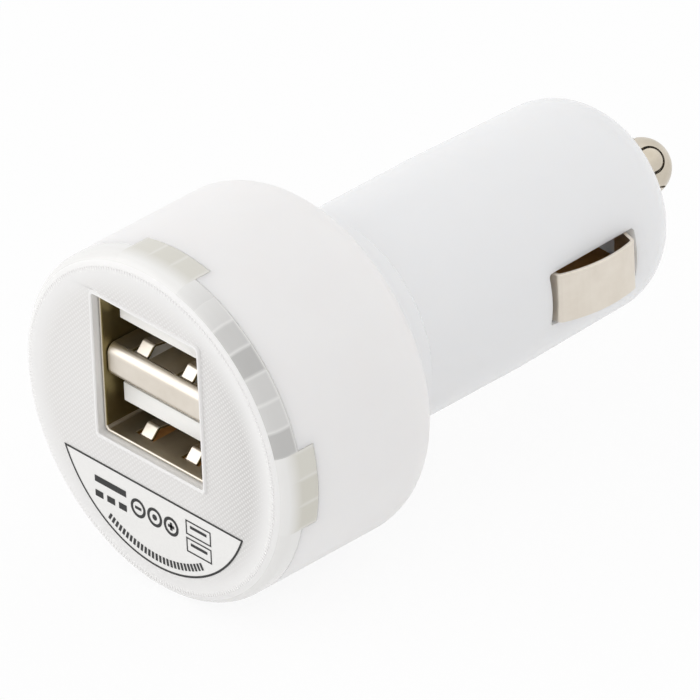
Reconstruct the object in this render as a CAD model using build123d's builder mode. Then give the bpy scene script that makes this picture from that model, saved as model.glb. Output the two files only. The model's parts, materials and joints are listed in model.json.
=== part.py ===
"""Dual USB car charger plug for a 12 V socket.

The plug's axis lies along Y: the nose with its sprung tip points to +Y, the USB ports face -Y,
and Z is up. The origin is on the axis at the rear shoulder of the head, which stops the plug
in its socket. Sizes are in millimetres.
"""

import os
from math import cos, pi, sin, sqrt

from build123d import *

os.makedirs("parts", exist_ok=True)

# Clearances
fit_gap = 0.1
slide_gap = 0.15
seat_gap = 0.2
joint_gap = 0.05

# Head: milky shell with a clear cover on its front
head_radius = 16.6
head_length = 19.7
shell_wall = 1.6
shell_rear_wall = 2.2
shell_rear_round = 4.0
cover_depth = 2.6
cover_plate = 1.4
cover_edge_round = 1.6
tab_count = 4
tab_width = 8.0
tab_reach = 1.8
rib_count = 40
rib_width = 0.45
rib_depth = 1.1
rib_reach = 1.6

# Socket window in the cover
window_corner = 0.3
lip_width = 0.35
lip_height = 0.25
lip_corner = 0.5
lip_round = 0.1

# Barrel
barrel_radius = 10.3
barrel_length = 36.0
barrel_wall = 1.5
barrel_draft = 0.35
nose_round = 5.9
collar_radius = 10.5
collar_length = 3.8
collar_step = 0.2
flange_thickness = 1.4

# Windows for the side contacts, set back from the end of the barrel
side_window_margin = 7.0
side_window_land = 1.0
side_window_length = 10.5
side_window_width = 5.3
side_window_corner = 0.4

# Side contact leaf, measured from the start of its window
leaf_thickness = 0.35
leaf_rise = 1.15
leaf_fold_run = 0.4
leaf_foot_run = 0.5
leaf_foot_length = 2.4
leaf_start_drop = 1.0
leaf_end_drop = 0.4
leaf_dive_run = 0.8
leaf_tail_length = 1.9
leaf_bend = 0.45

# Tip contact and its spring
tip_radius = 2.7
tip_wall = 0.4
tip_reach = 5.9
tip_flange_width = 0.9
tip_flange_thickness = 0.6
tip_travel = 3.0
tip_slot_count = 4
tip_slot_width = 0.25
tip_tongue_width = 2.4
tip_tongue_reach = 4.0
spring_wire = 0.45
spring_turns = 7
seat_thickness = 0.5
seat_width = 5.0
seat_foot = 2.6
seat_stub_length = 1.0

# Stacked pair of USB A ports
port_width = 12.5
port_height = 5.12
port_pitch = 8.45
socket_height = 4.15
socket_recess = 0.5
socket_depth = 12.0
socket_corner = 0.6
sheet = 0.3
tongue_width = 11.1
tongue_thickness = 1.84
tongue_drop = 0.72
tongue_recess = 1.5
tongue_length = 8.4
insulator_overhang = 1.2
shield_recess = 0.4
shield_depth = 8.0
shield_bend = 0.8
strip_width = 1.0
strip_thickness = 0.2
strip_inset = 0.8
strip_inner_x = 1.0
strip_outer_x = 3.5
strip_row_pitch = 1.5
pin_stickout = 0.8
finger_spacing = 5.7
finger_width = 1.5
finger_window_width = 2.1
finger_window_start = 1.3
finger_window_length = 6.2
finger_height = 0.85
finger_crest = 1.1
leg_width = 1.2
leg_inset = 2.5

# Circuit board and the pieces on it
board_thickness = 1.6
capacitor_radius = 3.15
capacitor_height = 7.5
capacitor_groove = 0.25
inductor_radius = 4.0
inductor_height = 6.5
inductor_flange = 1.1
inductor_neck = 2.2
winding_radius = 3.6
chip_length = 4.9
chip_width = 3.9
chip_height = 1.45
chip_lead_span = 6.0
chip_lead_width = 0.4
chip_lead_pitch = 1.27
chip_lead_count = 4
chip_lead_thickness = 0.2
diode_length = 4.3
diode_width = 2.6
diode_height = 2.0
fuse_length = 3.2
fuse_width = 1.6
fuse_height = 0.9
ceramic_length = 2.0
ceramic_width = 1.25
ceramic_height = 1.0
ceramic_count = 2
resistor_length = 1.6
resistor_width = 0.8
resistor_height = 0.45
resistor_count = 4
resistor_pitch = 2.0
led_radius = 1.5
led_height = 3.6
led_rim = 0.3
led_rim_height = 0.8
led_inset = 4.5

# Places along the axis
front_y = -head_length
cover_back_y = front_y + cover_plate
seam_y = front_y + cover_depth
tab_end_y = seam_y + tab_reach - fit_gap
shell_bore = head_radius - shell_wall
barrel_bore = barrel_radius - barrel_wall
side_window_start = barrel_length - side_window_margin - side_window_length
barrel_straight = side_window_start - side_window_land
nose_barrel_radius = barrel_radius - barrel_draft
nose_bore = nose_barrel_radius - barrel_wall
nose_start_y = barrel_length - nose_round
nose_flat_radius = nose_barrel_radius - nose_round
nose_inner_y = barrel_length - barrel_wall
flange_front_y = -shell_rear_wall - flange_thickness
flange_radius = shell_bore - (shell_rear_round - shell_wall)
tip_hole_radius = tip_radius + slide_gap
tip_seat_y = nose_inner_y - joint_gap
tip_end_y = barrel_length + tip_reach
seat_face_y = tip_seat_y - tip_flange_thickness - tip_travel - seat_gap

# Places across the axis
socket_width = port_width + 2 * sheet
socket_stack = port_pitch + port_height + 2 * sheet
socket_front_y = front_y + socket_recess
socket_rear_y = socket_front_y + socket_depth
port_centres = (socket_height - port_pitch / 2, socket_height + port_pitch / 2)
shield_height = port_pitch - port_height
board_top = socket_height - socket_stack / 2
board_bottom = board_top - board_thickness
window_width = socket_width + 2 * fit_gap
window_height = socket_stack + 2 * fit_gap
rib_circle = shell_bore - rib_depth
leaf_half_width = side_window_width / 2 - seat_gap
leaf_foot_x = sqrt(nose_bore**2 - leaf_half_width**2) - seat_gap
strip_x = (-strip_outer_x, -strip_inner_x, strip_inner_x, strip_outer_x)
strip_leg_y = (socket_rear_y + insulator_overhang, socket_rear_y + insulator_overhang + strip_row_pitch)


def across(y):
    """Plane square to the axis at y: its own y is Z, and it extrudes towards the front."""
    return Plane.XZ.offset(-y)


def deck(z):
    """Level plane at height z, for what stands on the board or hangs under it."""
    return Plane.XY.offset(z)


def chord(radius, height):
    """Half-width of a round bore at a height above or below its axis."""
    return sqrt(radius**2 - height**2)


def finish(piece, name):
    """Label a finished piece and write its STEP file."""
    piece.part.label = name
    export_step(piece.part, f"parts/{name}.step")


def tab_bars(width, mode=Mode.ADD):
    """Bars across the rim at the quarter hours, for the cover's tabs and the shell's notches."""
    with PolarLocations(head_radius, tab_count):
        Rectangle(4 * shell_wall, width, mode=mode)


def bent_strip(plane, points, thickness, bend):
    """Section, on a plane, of a bent strip whose middle follows the points."""
    with BuildSketch(plane) as section:
        with BuildLine():
            FilletPolyline(*points, radius=bend)
            offset(amount=thickness / 2, side=Side.BOTH)
        make_face()
    return section.sketch


def finger_pair(floor_top, front):
    """Two spring fingers cut free from a sheet floor and bent up into the port."""
    root_y = front + finger_window_start + finger_window_length
    crest_y = front + finger_window_start + finger_crest
    middle = floor_top - sheet / 2
    with BuildSketch(deck(middle)) as windows:
        with Locations((0, root_y - finger_window_length / 2)):
            with GridLocations(finger_spacing, 1, 2, 1):
                Rectangle(finger_window_width, finger_window_length)
    extrude(windows.sketch, amount=sheet, both=True, mode=Mode.SUBTRACT)
    route = [
        (root_y + sheet, middle),
        (root_y - sheet, middle),
        (crest_y, middle + finger_height),
        (front + finger_window_start + sheet, middle),
    ]
    for side in (-1, 1):
        finger = bent_strip(Plane.YZ.offset(side * finger_spacing / 2), route, sheet, sheet)
        extrude(finger, amount=finger_width / 2, both=True)


def contact_strips(port, leg_y, mode=Mode.ADD):
    """Four strips under a port's tongue that run back and bend down through the board."""
    tongue_bottom = port_centres[port] + port_height / 2 - tongue_drop - tongue_thickness
    middle_y = leg_y + strip_thickness / 2
    route = [
        (socket_front_y + tongue_recess + strip_inset, tongue_bottom),
        (middle_y, tongue_bottom),
        (middle_y, board_bottom - pin_stickout),
    ]
    for x in strip_x:
        strip = bent_strip(Plane.YZ.offset(x), route, strip_thickness, 2 * strip_thickness)
        extrude(strip, amount=strip_width / 2, both=True, mode=mode)


# Barrel: a tube of even wall, flanged inside the head and domed at the nose
with BuildPart() as barrel_housing:
    with BuildSketch(Plane.XY):
        with BuildLine():
            Polyline(
                (barrel_bore, flange_front_y),
                (flange_radius, flange_front_y),
                (flange_radius, -shell_rear_wall),
                (collar_radius, -shell_rear_wall),
                (collar_radius, collar_length),
                (barrel_radius, collar_length + collar_step),
                (barrel_radius, barrel_straight),
                (nose_barrel_radius, nose_start_y),
            )
            CenterArc((nose_flat_radius, nose_start_y), nose_round, 0, 90)
            Polyline(
                (nose_flat_radius, barrel_length),
                (tip_hole_radius, barrel_length),
                (tip_hole_radius, nose_inner_y),
                (nose_flat_radius, nose_inner_y),
            )
            CenterArc((nose_flat_radius, nose_start_y), nose_round - barrel_wall, 0, 90)
            Polyline(
                (nose_bore, nose_start_y),
                (barrel_bore, barrel_straight),
                (barrel_bore, flange_front_y),
            )
        make_face()
    revolve(axis=Axis.Y)
    with BuildSketch(Plane.YZ):
        with Locations((side_window_start + side_window_length / 2, 0)):
            RectangleRounded(side_window_length, side_window_width, side_window_corner)
    extrude(amount=barrel_radius, both=True, mode=Mode.SUBTRACT)
finish(barrel_housing, "barrel_housing")

# Head shell: a cup with a rounded shoulder, clamped by the barrel's flange
with BuildPart() as head_shell:
    with BuildSketch(Plane.XY):
        with BuildLine():
            Polyline(
                (shell_bore, seam_y),
                (head_radius, seam_y),
                (head_radius, -shell_rear_round),
            )
            CenterArc((head_radius - shell_rear_round, -shell_rear_round), shell_rear_round, 0, 90)
            Polyline(
                (head_radius - shell_rear_round, 0),
                (collar_radius + fit_gap, 0),
                (collar_radius + fit_gap, -shell_rear_wall),
                (shell_bore - (shell_rear_round - shell_wall) + fit_gap, -shell_rear_wall),
                (shell_bore, -shell_rear_wall - (shell_rear_round - shell_wall)),
                (shell_bore, seam_y),
            )
        make_face()
    revolve(axis=Axis.Y)
    with BuildSketch(across(seam_y + tab_reach)):
        tab_bars(tab_width)
    extrude(amount=tab_reach, mode=Mode.SUBTRACT)
finish(head_shell, "head_shell")

# Clear front cover: face plate, skirt, four tabs in the shell's notches and locating ribs
with BuildPart() as front_cover:
    with BuildSketch(Plane.XY):
        with BuildLine():
            Polyline((0, front_y), (head_radius - cover_edge_round, front_y))
            CenterArc(
                (head_radius - cover_edge_round, front_y + cover_edge_round), cover_edge_round, -90, 90
            )
            Polyline(
                (head_radius, front_y + cover_edge_round),
                (head_radius, tab_end_y),
                (shell_bore, tab_end_y),
                (shell_bore, cover_back_y),
                (0, cover_back_y),
                (0, front_y),
            )
        make_face()
    revolve(axis=Axis.Y)
    with BuildSketch(across(tab_end_y)):
        Circle(2 * head_radius)
        tab_bars(tab_width - 2 * fit_gap, mode=Mode.SUBTRACT)
    extrude(amount=tab_end_y - seam_y, mode=Mode.SUBTRACT)
    with BuildSketch(across(seam_y + rib_reach)):
        with PolarLocations(rib_circle, rib_count, start_angle=180 / rib_count):
            Rectangle(rib_depth - fit_gap, rib_width, align=(Align.MIN, Align.CENTER))
    extrude(amount=cover_depth - cover_plate + rib_reach)
    with BuildSketch(across(front_y)):
        with Locations((0, socket_height)):
            RectangleRounded(window_width + 2 * lip_width, window_height + 2 * lip_width, lip_corner)
    extrude(amount=lip_height)
    chamfer(front_cover.faces().sort_by(Axis.Y)[0].outer_wire().edges(), lip_round)
    with BuildSketch(across(cover_back_y)):
        with Locations((0, socket_height)):
            RectangleRounded(window_width, window_height, window_corner)
    extrude(amount=cover_plate + lip_height, mode=Mode.SUBTRACT)
finish(front_cover, "front_cover")

# Outer can of the socket: a folded tube with fingers in its floor and four legs through the board
with BuildPart() as usb_shell:
    with BuildSketch(across(socket_rear_y)):
        with Locations((0, socket_height)):
            RectangleRounded(socket_width, socket_stack, socket_corner)
            RectangleRounded(
                socket_width - 2 * sheet, socket_stack - 2 * sheet, socket_corner - sheet, mode=Mode.SUBTRACT
            )
    extrude(amount=socket_depth)
    finger_pair(board_top + sheet, socket_front_y)
    leg_length = board_thickness + pin_stickout + socket_corner
    for leg_y in (socket_front_y + leg_inset, socket_rear_y - leg_inset):
        with BuildSketch(deck(board_top + socket_corner)):
            with Locations((-socket_width / 2, leg_y)):
                Rectangle(sheet, leg_width, align=(Align.MIN, Align.CENTER))
            with Locations((socket_width / 2, leg_y)):
                Rectangle(sheet, leg_width, align=(Align.MAX, Align.CENTER))
        extrude(amount=-leg_length)
finish(usb_shell, "usb_shell")

# Shield between the ports: a strip folded round its front, with fingers for the upper port
with BuildPart() as usb_middle_shield:
    shield_rear_y = socket_front_y + shield_depth
    shield_front_y = socket_front_y + shield_recess + sheet / 2
    shield_rise = (shield_height - sheet) / 2
    shield_route = [
        (shield_rear_y, socket_height + shield_rise),
        (shield_front_y, socket_height + shield_rise),
        (shield_front_y, socket_height - shield_rise),
        (shield_rear_y, socket_height - shield_rise),
    ]
    shield_section = bent_strip(Plane.YZ, shield_route, sheet, shield_bend)
    extrude(shield_section, amount=port_width / 2 - joint_gap, both=True)
    finger_pair(socket_height + shield_height / 2, socket_front_y)
finish(usb_middle_shield, "usb_middle_shield")

# White moulding: the two tongues on a block, with a nose that carries the middle shield
with BuildPart() as usb_insulator:
    block_front_y = socket_front_y + tongue_recess + tongue_length
    block_rear_y = socket_rear_y + insulator_overhang
    with BuildSketch(across(block_rear_y)):
        with Locations((0, socket_height)):
            RectangleRounded(
                port_width - 2 * joint_gap, socket_stack - 2 * sheet - 2 * joint_gap, socket_corner
            )
    extrude(amount=block_rear_y - block_front_y)
    with BuildSketch(across(block_rear_y)):
        with Locations((0, socket_height)):
            Rectangle(tongue_width, shield_height - 2 * sheet - 2 * joint_gap)
        for port_z in port_centres:
            with Locations((0, port_z + port_height / 2 - tongue_drop)):
                Rectangle(tongue_width, tongue_thickness, align=(Align.CENTER, Align.MAX))
    extrude(amount=block_rear_y - (socket_front_y + tongue_recess))
    contact_strips(0, strip_leg_y[0], Mode.SUBTRACT)
    contact_strips(1, strip_leg_y[1], Mode.SUBTRACT)
finish(usb_insulator, "usb_insulator")

with BuildPart() as lower_port_contacts:
    contact_strips(0, strip_leg_y[0])
finish(lower_port_contacts, "lower_port_contacts")

with BuildPart() as upper_port_contacts:
    contact_strips(1, strip_leg_y[1])
finish(upper_port_contacts, "upper_port_contacts")

# Side contacts: arched leaves whose feet lie behind the ends of the barrel's windows
with BuildPart() as right_side_contact:
    foot_y = side_window_start + leaf_foot_run
    fold_y = foot_y + leaf_fold_run
    dive_y = side_window_start + side_window_length - leaf_foot_run
    shoulder_y = dive_y - leaf_dive_run
    crest_x = barrel_radius + leaf_rise - leaf_thickness / 2
    start_x = crest_x - leaf_start_drop
    end_x = crest_x - leaf_end_drop
    middle_x = leaf_foot_x - leaf_thickness / 2
    with BuildSketch(Plane.XY):
        with BuildLine() as leaf_line:
            Polyline((middle_x, foot_y - leaf_foot_length), (middle_x, foot_y), (start_x, fold_y))
            ThreePointArc((start_x, fold_y), (crest_x, (fold_y + shoulder_y) / 2), (end_x, shoulder_y))
            Polyline((end_x, shoulder_y), (middle_x, dive_y), (middle_x, dive_y + leaf_tail_length))
            bends = leaf_line.vertices().filter_by_position(
                Axis.Y, foot_y - leaf_foot_length, dive_y + leaf_tail_length, inclusive=(False, False)
            )
            fillet(bends, leaf_bend)
            offset(amount=leaf_thickness / 2, side=Side.BOTH)
        make_face()
    extrude(amount=leaf_half_width, both=True)
finish(right_side_contact, "right_side_contact")

with BuildPart() as left_side_contact:
    mirror(right_side_contact.part, about=Plane.YZ)
finish(left_side_contact, "left_side_contact")

# Tip: a drawn cap with a flange behind the nose and U-shaped slots round its side
with BuildPart() as tip_contact:
    tip_bore = tip_radius - tip_wall
    dome_y = tip_end_y - tip_radius
    flange_y = tip_seat_y - tip_flange_thickness
    with BuildSketch(Plane.XY):
        with BuildLine():
            Polyline(
                (tip_bore, flange_y),
                (tip_radius + tip_flange_width, flange_y),
                (tip_radius + tip_flange_width, tip_seat_y),
                (tip_radius, tip_seat_y),
                (tip_radius, dome_y),
            )
            CenterArc((0, dome_y), tip_radius, 0, 90)
            Line((0, tip_end_y), (0, tip_end_y - tip_wall))
            CenterArc((0, dome_y), tip_bore, 0, 90)
            Line((tip_bore, dome_y), (tip_bore, flange_y))
        make_face()
    revolve(axis=Axis.Y)
    for slot in range(tip_slot_count):
        turn = 2 * pi * (slot + 0.5) / tip_slot_count
        outward = Plane(origin=(0, 0, 0), x_dir=(0, 1, 0), z_dir=(cos(turn), 0, sin(turn)))
        with BuildSketch(outward):
            arc_y = barrel_length + tip_tongue_reach - tip_tongue_width / 2
            with BuildLine():
                Line((barrel_length, tip_tongue_width / 2), (arc_y, tip_tongue_width / 2))
                CenterArc((arc_y, 0), tip_tongue_width / 2, -90, 180)
                Line((arc_y, -tip_tongue_width / 2), (barrel_length, -tip_tongue_width / 2))
                offset(amount=tip_slot_width / 2, side=Side.BOTH)
            make_face()
        extrude(amount=2 * tip_radius, mode=Mode.SUBTRACT)
finish(tip_contact, "tip_contact")

# Spring between the bracket on the board and the inside of the tip's dome
with BuildPart() as tip_spring:
    coil_radius = tip_radius - tip_wall - seat_gap - spring_wire / 2
    coil_start = seat_face_y + joint_gap + spring_wire / 2
    dome_rise = chord(tip_radius - tip_wall, coil_radius + spring_wire / 2)
    coil_length = tip_end_y - tip_radius + dome_rise - joint_gap - spring_wire / 2 - coil_start
    coil_pitch = coil_length / spring_turns
    with BuildLine():
        coil = Helix(coil_pitch, coil_length, coil_radius, center=(0, coil_start, 0), direction=(0, 1, 0))
    with BuildSketch(Plane(origin=coil @ 0, z_dir=coil % 0)):
        Circle(spring_wire / 2)
    sweep(path=coil)
finish(tip_spring, "tip_spring")

# Brass bracket that carries the spring, soldered to the end of the board
with BuildPart() as spring_seat:
    seat_top = coil_radius + spring_wire
    with BuildSketch(Plane.YZ):
        with BuildLine():
            Polyline(
                (seat_face_y, board_top),
                (seat_face_y, seat_top),
                (seat_face_y - seat_thickness, seat_top),
                (seat_face_y - seat_thickness, board_top + seat_thickness),
                (seat_face_y - seat_foot, board_top + seat_thickness),
                (seat_face_y - seat_foot, board_top),
                (seat_face_y, board_top),
            )
        make_face()
    extrude(amount=seat_width / 2, both=True)
    with BuildSketch(across(seat_face_y)):
        Circle(coil_radius - spring_wire / 2 - seat_gap)
    extrude(amount=-seat_stub_length)
finish(spring_seat, "spring_seat")

# Board: wide in the head, where the cover's ribs hold its corners, narrow in the barrel
board_front_y = cover_back_y + seat_gap
board_neck_y = flange_front_y - seat_gap
board_end_y = seat_face_y
board_head_half = chord(rib_circle, board_bottom) - seat_gap
board_neck_half = chord(nose_bore, board_bottom) - seat_gap
with BuildPart() as main_board:
    with BuildSketch(deck(board_bottom)):
        with Locations((0, board_front_y)):
            Rectangle(2 * board_head_half, board_neck_y - board_front_y, align=(Align.CENTER, Align.MIN))
        with Locations((0, board_neck_y)):
            Rectangle(2 * board_neck_half, board_end_y - board_neck_y, align=(Align.CENTER, Align.MIN))
        for leg_y in (socket_front_y + leg_inset, socket_rear_y - leg_inset):
            for side in (-1, 1):
                with Locations((side * (socket_width - sheet) / 2, leg_y)):
                    Rectangle(sheet + 2 * fit_gap, leg_width + 2 * fit_gap, mode=Mode.SUBTRACT)
        for row_y in strip_leg_y:
            for x in strip_x:
                with Locations((x, row_y + strip_thickness / 2)):
                    Circle(strip_width / 2 + fit_gap, mode=Mode.SUBTRACT)
    extrude(amount=board_thickness)
finish(main_board, "main_board")

# Tall pieces share the board's top between the socket's pins and the spring's bracket
bay_start = strip_leg_y[1] + strip_thickness
bay_end = seat_face_y - seat_foot
bay_lengths = (2 * capacitor_radius, 2 * inductor_radius, 2 * capacitor_radius)
bay_space = (bay_end - bay_start - sum(bay_lengths)) / (len(bay_lengths) + 1)
output_capacitor_y = bay_start + bay_space + capacitor_radius
inductor_y = output_capacitor_y + capacitor_radius + bay_space + inductor_radius
input_capacitor_y = inductor_y + inductor_radius + bay_space + capacitor_radius


def upright_capacitor(y):
    """Can of an electrolytic capacitor with its rolled groove near the foot."""
    groove_z = board_top + 4 * capacitor_groove
    with BuildSketch(across(y)) as section:
        with BuildLine():
            Polyline(
                (0, board_top),
                (capacitor_radius, board_top),
                (capacitor_radius, groove_z - capacitor_groove),
                (capacitor_radius - capacitor_groove, groove_z),
                (capacitor_radius, groove_z + capacitor_groove),
                (capacitor_radius, board_top + capacitor_height - capacitor_groove),
                (capacitor_radius - capacitor_groove, board_top + capacitor_height),
                (0, board_top + capacitor_height),
                (0, board_top),
            )
        make_face()
    revolve(section.sketch, axis=Axis((0, y, 0), (0, 0, 1)))


with BuildPart() as output_capacitor:
    upright_capacitor(output_capacitor_y)
finish(output_capacitor, "output_capacitor")

with BuildPart() as input_capacitor:
    upright_capacitor(input_capacitor_y)
finish(input_capacitor, "input_capacitor")

with BuildPart() as inductor_core:
    neck_height = inductor_height - 2 * inductor_flange
    with BuildSketch(deck(board_top)):
        with Locations((0, inductor_y)):
            Circle(inductor_radius)
    extrude(amount=inductor_flange)
    with BuildSketch(deck(board_top + inductor_flange)):
        with Locations((0, inductor_y)):
            Circle(inductor_neck)
    extrude(amount=neck_height)
    with BuildSketch(deck(board_top + inductor_flange + neck_height)):
        with Locations((0, inductor_y)):
            Circle(inductor_radius)
    extrude(amount=inductor_flange)
finish(inductor_core, "inductor_core")

with BuildPart() as inductor_winding:
    with BuildSketch(deck(board_top + inductor_flange)):
        with Locations((0, inductor_y)):
            Circle(winding_radius)
            Circle(inductor_neck, mode=Mode.SUBTRACT)
    extrude(amount=neck_height)
finish(inductor_winding, "inductor_winding")

# Flat pieces share the board's underside in the barrel
under_lengths = (chip_length, diode_length, fuse_length, ceramic_length)
under_space = (board_end_y - bay_start - sum(under_lengths)) / (len(under_lengths) + 1)
chip_y = bay_start + under_space + chip_length / 2
diode_y = chip_y + chip_length / 2 + under_space + diode_length / 2
fuse_y = diode_y + diode_length / 2 + under_space + fuse_length / 2
ceramic_y = fuse_y + fuse_length / 2 + under_space + ceramic_length / 2

with BuildPart() as regulator_chip:
    with BuildSketch(deck(board_bottom - chip_lead_thickness)):
        with Locations((0, chip_y)):
            Rectangle(chip_width, chip_length)
    extrude(amount=-chip_height)
    lead_middle = board_bottom - chip_height / 2
    for side in (-1, 1):
        for lead in range(chip_lead_count):
            y = chip_y + (lead - (chip_lead_count - 1) / 2) * chip_lead_pitch
            knee = side * (chip_width + chip_lead_span) / 4
            lead_route = [
                (side * chip_width / 4, lead_middle),
                (knee, lead_middle),
                (knee, board_bottom - chip_lead_thickness / 2),
                (side * chip_lead_span / 2, board_bottom - chip_lead_thickness / 2),
            ]
            lead_section = bent_strip(across(y), lead_route, chip_lead_thickness, chip_lead_thickness)
            extrude(lead_section, amount=chip_lead_width / 2, both=True)
finish(regulator_chip, "regulator_chip")

with BuildPart() as rectifier_diode:
    with BuildSketch(deck(board_bottom)):
        with Locations((0, diode_y)):
            Rectangle(diode_width, diode_length)
    extrude(amount=-diode_height, taper=4)
finish(rectifier_diode, "rectifier_diode")

with BuildPart() as fuse:
    with BuildSketch(deck(board_bottom)):
        with Locations((0, fuse_y)):
            Rectangle(fuse_width, fuse_length)
    extrude(amount=-fuse_height)
finish(fuse, "fuse")

with BuildPart() as ceramic_capacitors:
    with BuildSketch(deck(board_bottom)):
        with Locations((0, ceramic_y)):
            with GridLocations(2 * ceramic_width, 1, ceramic_count, 1):
                Rectangle(ceramic_width, ceramic_length)
    extrude(amount=-ceramic_height)
finish(ceramic_capacitors, "ceramic_capacitors")

# Beside the socket: the resistors that set the ports' current, and the light behind the cover
side_strip_x = (socket_width / 2 + board_head_half) / 2
with BuildPart() as chip_resistors:
    with BuildSketch(deck(board_top)):
        with Locations((-side_strip_x, (board_front_y + board_neck_y) / 2)):
            with GridLocations(1, resistor_pitch, 1, resistor_count):
                Rectangle(resistor_length, resistor_width)
    extrude(amount=resistor_height)
finish(chip_resistors, "chip_resistors")

with BuildPart() as indicator_led:
    led_centre = (side_strip_x, board_front_y + led_inset)
    with BuildSketch(deck(board_top)):
        with Locations(led_centre):
            Circle(led_radius + led_rim)
    extrude(amount=led_rim_height)
    with BuildSketch(deck(board_top)):
        with Locations(led_centre):
            Circle(led_radius)
    extrude(amount=led_height)
    fillet(indicator_led.edges().group_by(Axis.Z)[-1], led_radius * 0.9)
finish(indicator_led, "indicator_led")
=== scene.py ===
# %% [markdown]
# # A car charger plug with two USB ports
#
# The plug is a slim white barrel that goes into a 12 V socket, a wide milky head, and a clear front
# with two stacked USB ports in its window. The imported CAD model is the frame: its solids stay where
# they are, and this script gives them their finish, their softer edges and the light.

# %% Load the frame
import json
import math

import bmesh
import bpy
from mathutils import Euler, Matrix, Vector


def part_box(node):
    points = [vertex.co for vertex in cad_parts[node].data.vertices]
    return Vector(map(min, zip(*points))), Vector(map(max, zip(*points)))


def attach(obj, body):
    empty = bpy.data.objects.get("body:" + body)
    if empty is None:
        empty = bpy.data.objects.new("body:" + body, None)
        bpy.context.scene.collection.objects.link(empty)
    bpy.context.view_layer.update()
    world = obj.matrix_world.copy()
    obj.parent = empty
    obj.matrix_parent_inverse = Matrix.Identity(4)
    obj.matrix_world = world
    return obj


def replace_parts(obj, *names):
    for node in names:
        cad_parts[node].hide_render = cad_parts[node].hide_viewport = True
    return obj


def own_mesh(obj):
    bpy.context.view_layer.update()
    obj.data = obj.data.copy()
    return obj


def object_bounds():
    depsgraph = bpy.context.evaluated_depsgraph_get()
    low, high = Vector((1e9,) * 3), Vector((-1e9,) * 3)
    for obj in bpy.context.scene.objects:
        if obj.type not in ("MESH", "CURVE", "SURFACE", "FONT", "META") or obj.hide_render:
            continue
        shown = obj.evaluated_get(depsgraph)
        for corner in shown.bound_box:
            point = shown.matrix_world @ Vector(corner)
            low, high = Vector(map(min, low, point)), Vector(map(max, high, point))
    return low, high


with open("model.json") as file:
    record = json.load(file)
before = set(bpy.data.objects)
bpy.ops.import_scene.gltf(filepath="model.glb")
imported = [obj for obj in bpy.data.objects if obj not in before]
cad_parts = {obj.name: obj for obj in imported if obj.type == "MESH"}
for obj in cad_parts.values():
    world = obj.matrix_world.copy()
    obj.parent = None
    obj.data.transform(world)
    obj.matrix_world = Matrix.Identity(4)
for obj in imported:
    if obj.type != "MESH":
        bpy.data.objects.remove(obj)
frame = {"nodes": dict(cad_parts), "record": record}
nodes = frame["nodes"]
record = frame["record"]
cad_box = [list(corner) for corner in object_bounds()]
MM = 0.001
print("frame:", len(nodes), "nodes, box", cad_box)

# %% [markdown]
# ## Sizes
#
# A piece that stands for a CAD node has to lie exactly on it, so its places are read from the boxes
# of the nodes. Only walls, roundings and gaps, which a box can't tell, are written down, each where it
# is first needed.

# %% Places from the frame
cover_low, cover_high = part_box("front_cover")
shell_low, shell_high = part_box("head_shell")

LIP_HEIGHT = 0.25 * MM
HEAD_WALL = 1.6 * MM
HEAD_RADIUS = shell_high.x
HEAD_BORE = HEAD_RADIUS - HEAD_WALL
FACE_Y = cover_low.y + LIP_HEIGHT
SEAM_Y = shell_low.y
TAB_END_Y = cover_high.y
print("head radius", HEAD_RADIUS, "face at", FACE_Y, "seam at", SEAM_Y)

# %% [markdown]
# ## Colours and nodes
#
# Colours are written as sRGB hex values, as a paint program shows them, and Blender wants linear
# ones, so one function turns them over. Materials could be built by hand in the node editor. Here one
# function adds a node to any tree, and one starts a material, so each look is a few lines to read.


# %% Helpers for materials
def linear(hex_colour):
    """Linear RGBA from an sRGB hex such as "e8e8ee"."""
    parts = [int(hex_colour[i:i + 2], 16) / 255 for i in (0, 2, 4)]
    return (*[p / 12.92 if p <= 0.04045 else ((p + 0.055) / 1.055) ** 2.4 for p in parts], 1.0)


def wire(tree, node, sockets):
    """Sets a node's inputs, or links them to given outputs."""
    for key, value in sockets.items():
        if isinstance(value, bpy.types.NodeSocket):
            tree.links.new(value, node.inputs[key])
        else:
            node.inputs[key].default_value = value


def add(tree, kind, sockets=None, **settings):
    """Adds a node with its settings and wires its inputs."""
    node = tree.nodes.new(kind)
    for key, value in settings.items():
        setattr(node, key, value)
    wire(tree, node, sockets or {})
    return node


def start_material(name, colour, **sockets):
    """A material with one Principled shader, and the object's own coordinates to hang patterns on."""
    material = bpy.data.materials.new(name)
    material.use_nodes = True
    tree = material.node_tree
    shader = tree.nodes["Principled BSDF"]
    wire(tree, shader, {"Base Color": linear(colour)})
    wire(tree, shader, {key.replace("_", " "): value for key, value in sockets.items()})
    place = add(tree, "ShaderNodeTexCoord").outputs["Object"]
    return material, tree, shader, place


# Sockets of a Mix node that carry colours
COLOUR_A, COLOUR_B, COLOUR_OUT = 6, 7, 2
print("a middle grey, 808080, is", round(linear("808080")[0], 3), "in linear light")

# %% [markdown]
# ## Moulded plastics
#
# The barrel is glossy ABS and the head is a milkier polystyrene that light sinks into. Both are thin
# enough to let some light through to the inside. A polished mould still leaves a faint orange peel,
# and the colour drifts by a shade over a few millimetres, where the melt flowed together. A plain white
# shader would look like plaster, so subsurface light and two noises do this.

# %% Barrel, head and tongue plastic
CLOUD_SIZE = 7.0 * MM
PEEL_SIZE = 0.8 * MM
PEEL_DEPTH = 0.004 * MM

# Red light spreads a little further in the plastic than blue
GLOW_TINT = (1.0, 0.95, 0.9)


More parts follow.
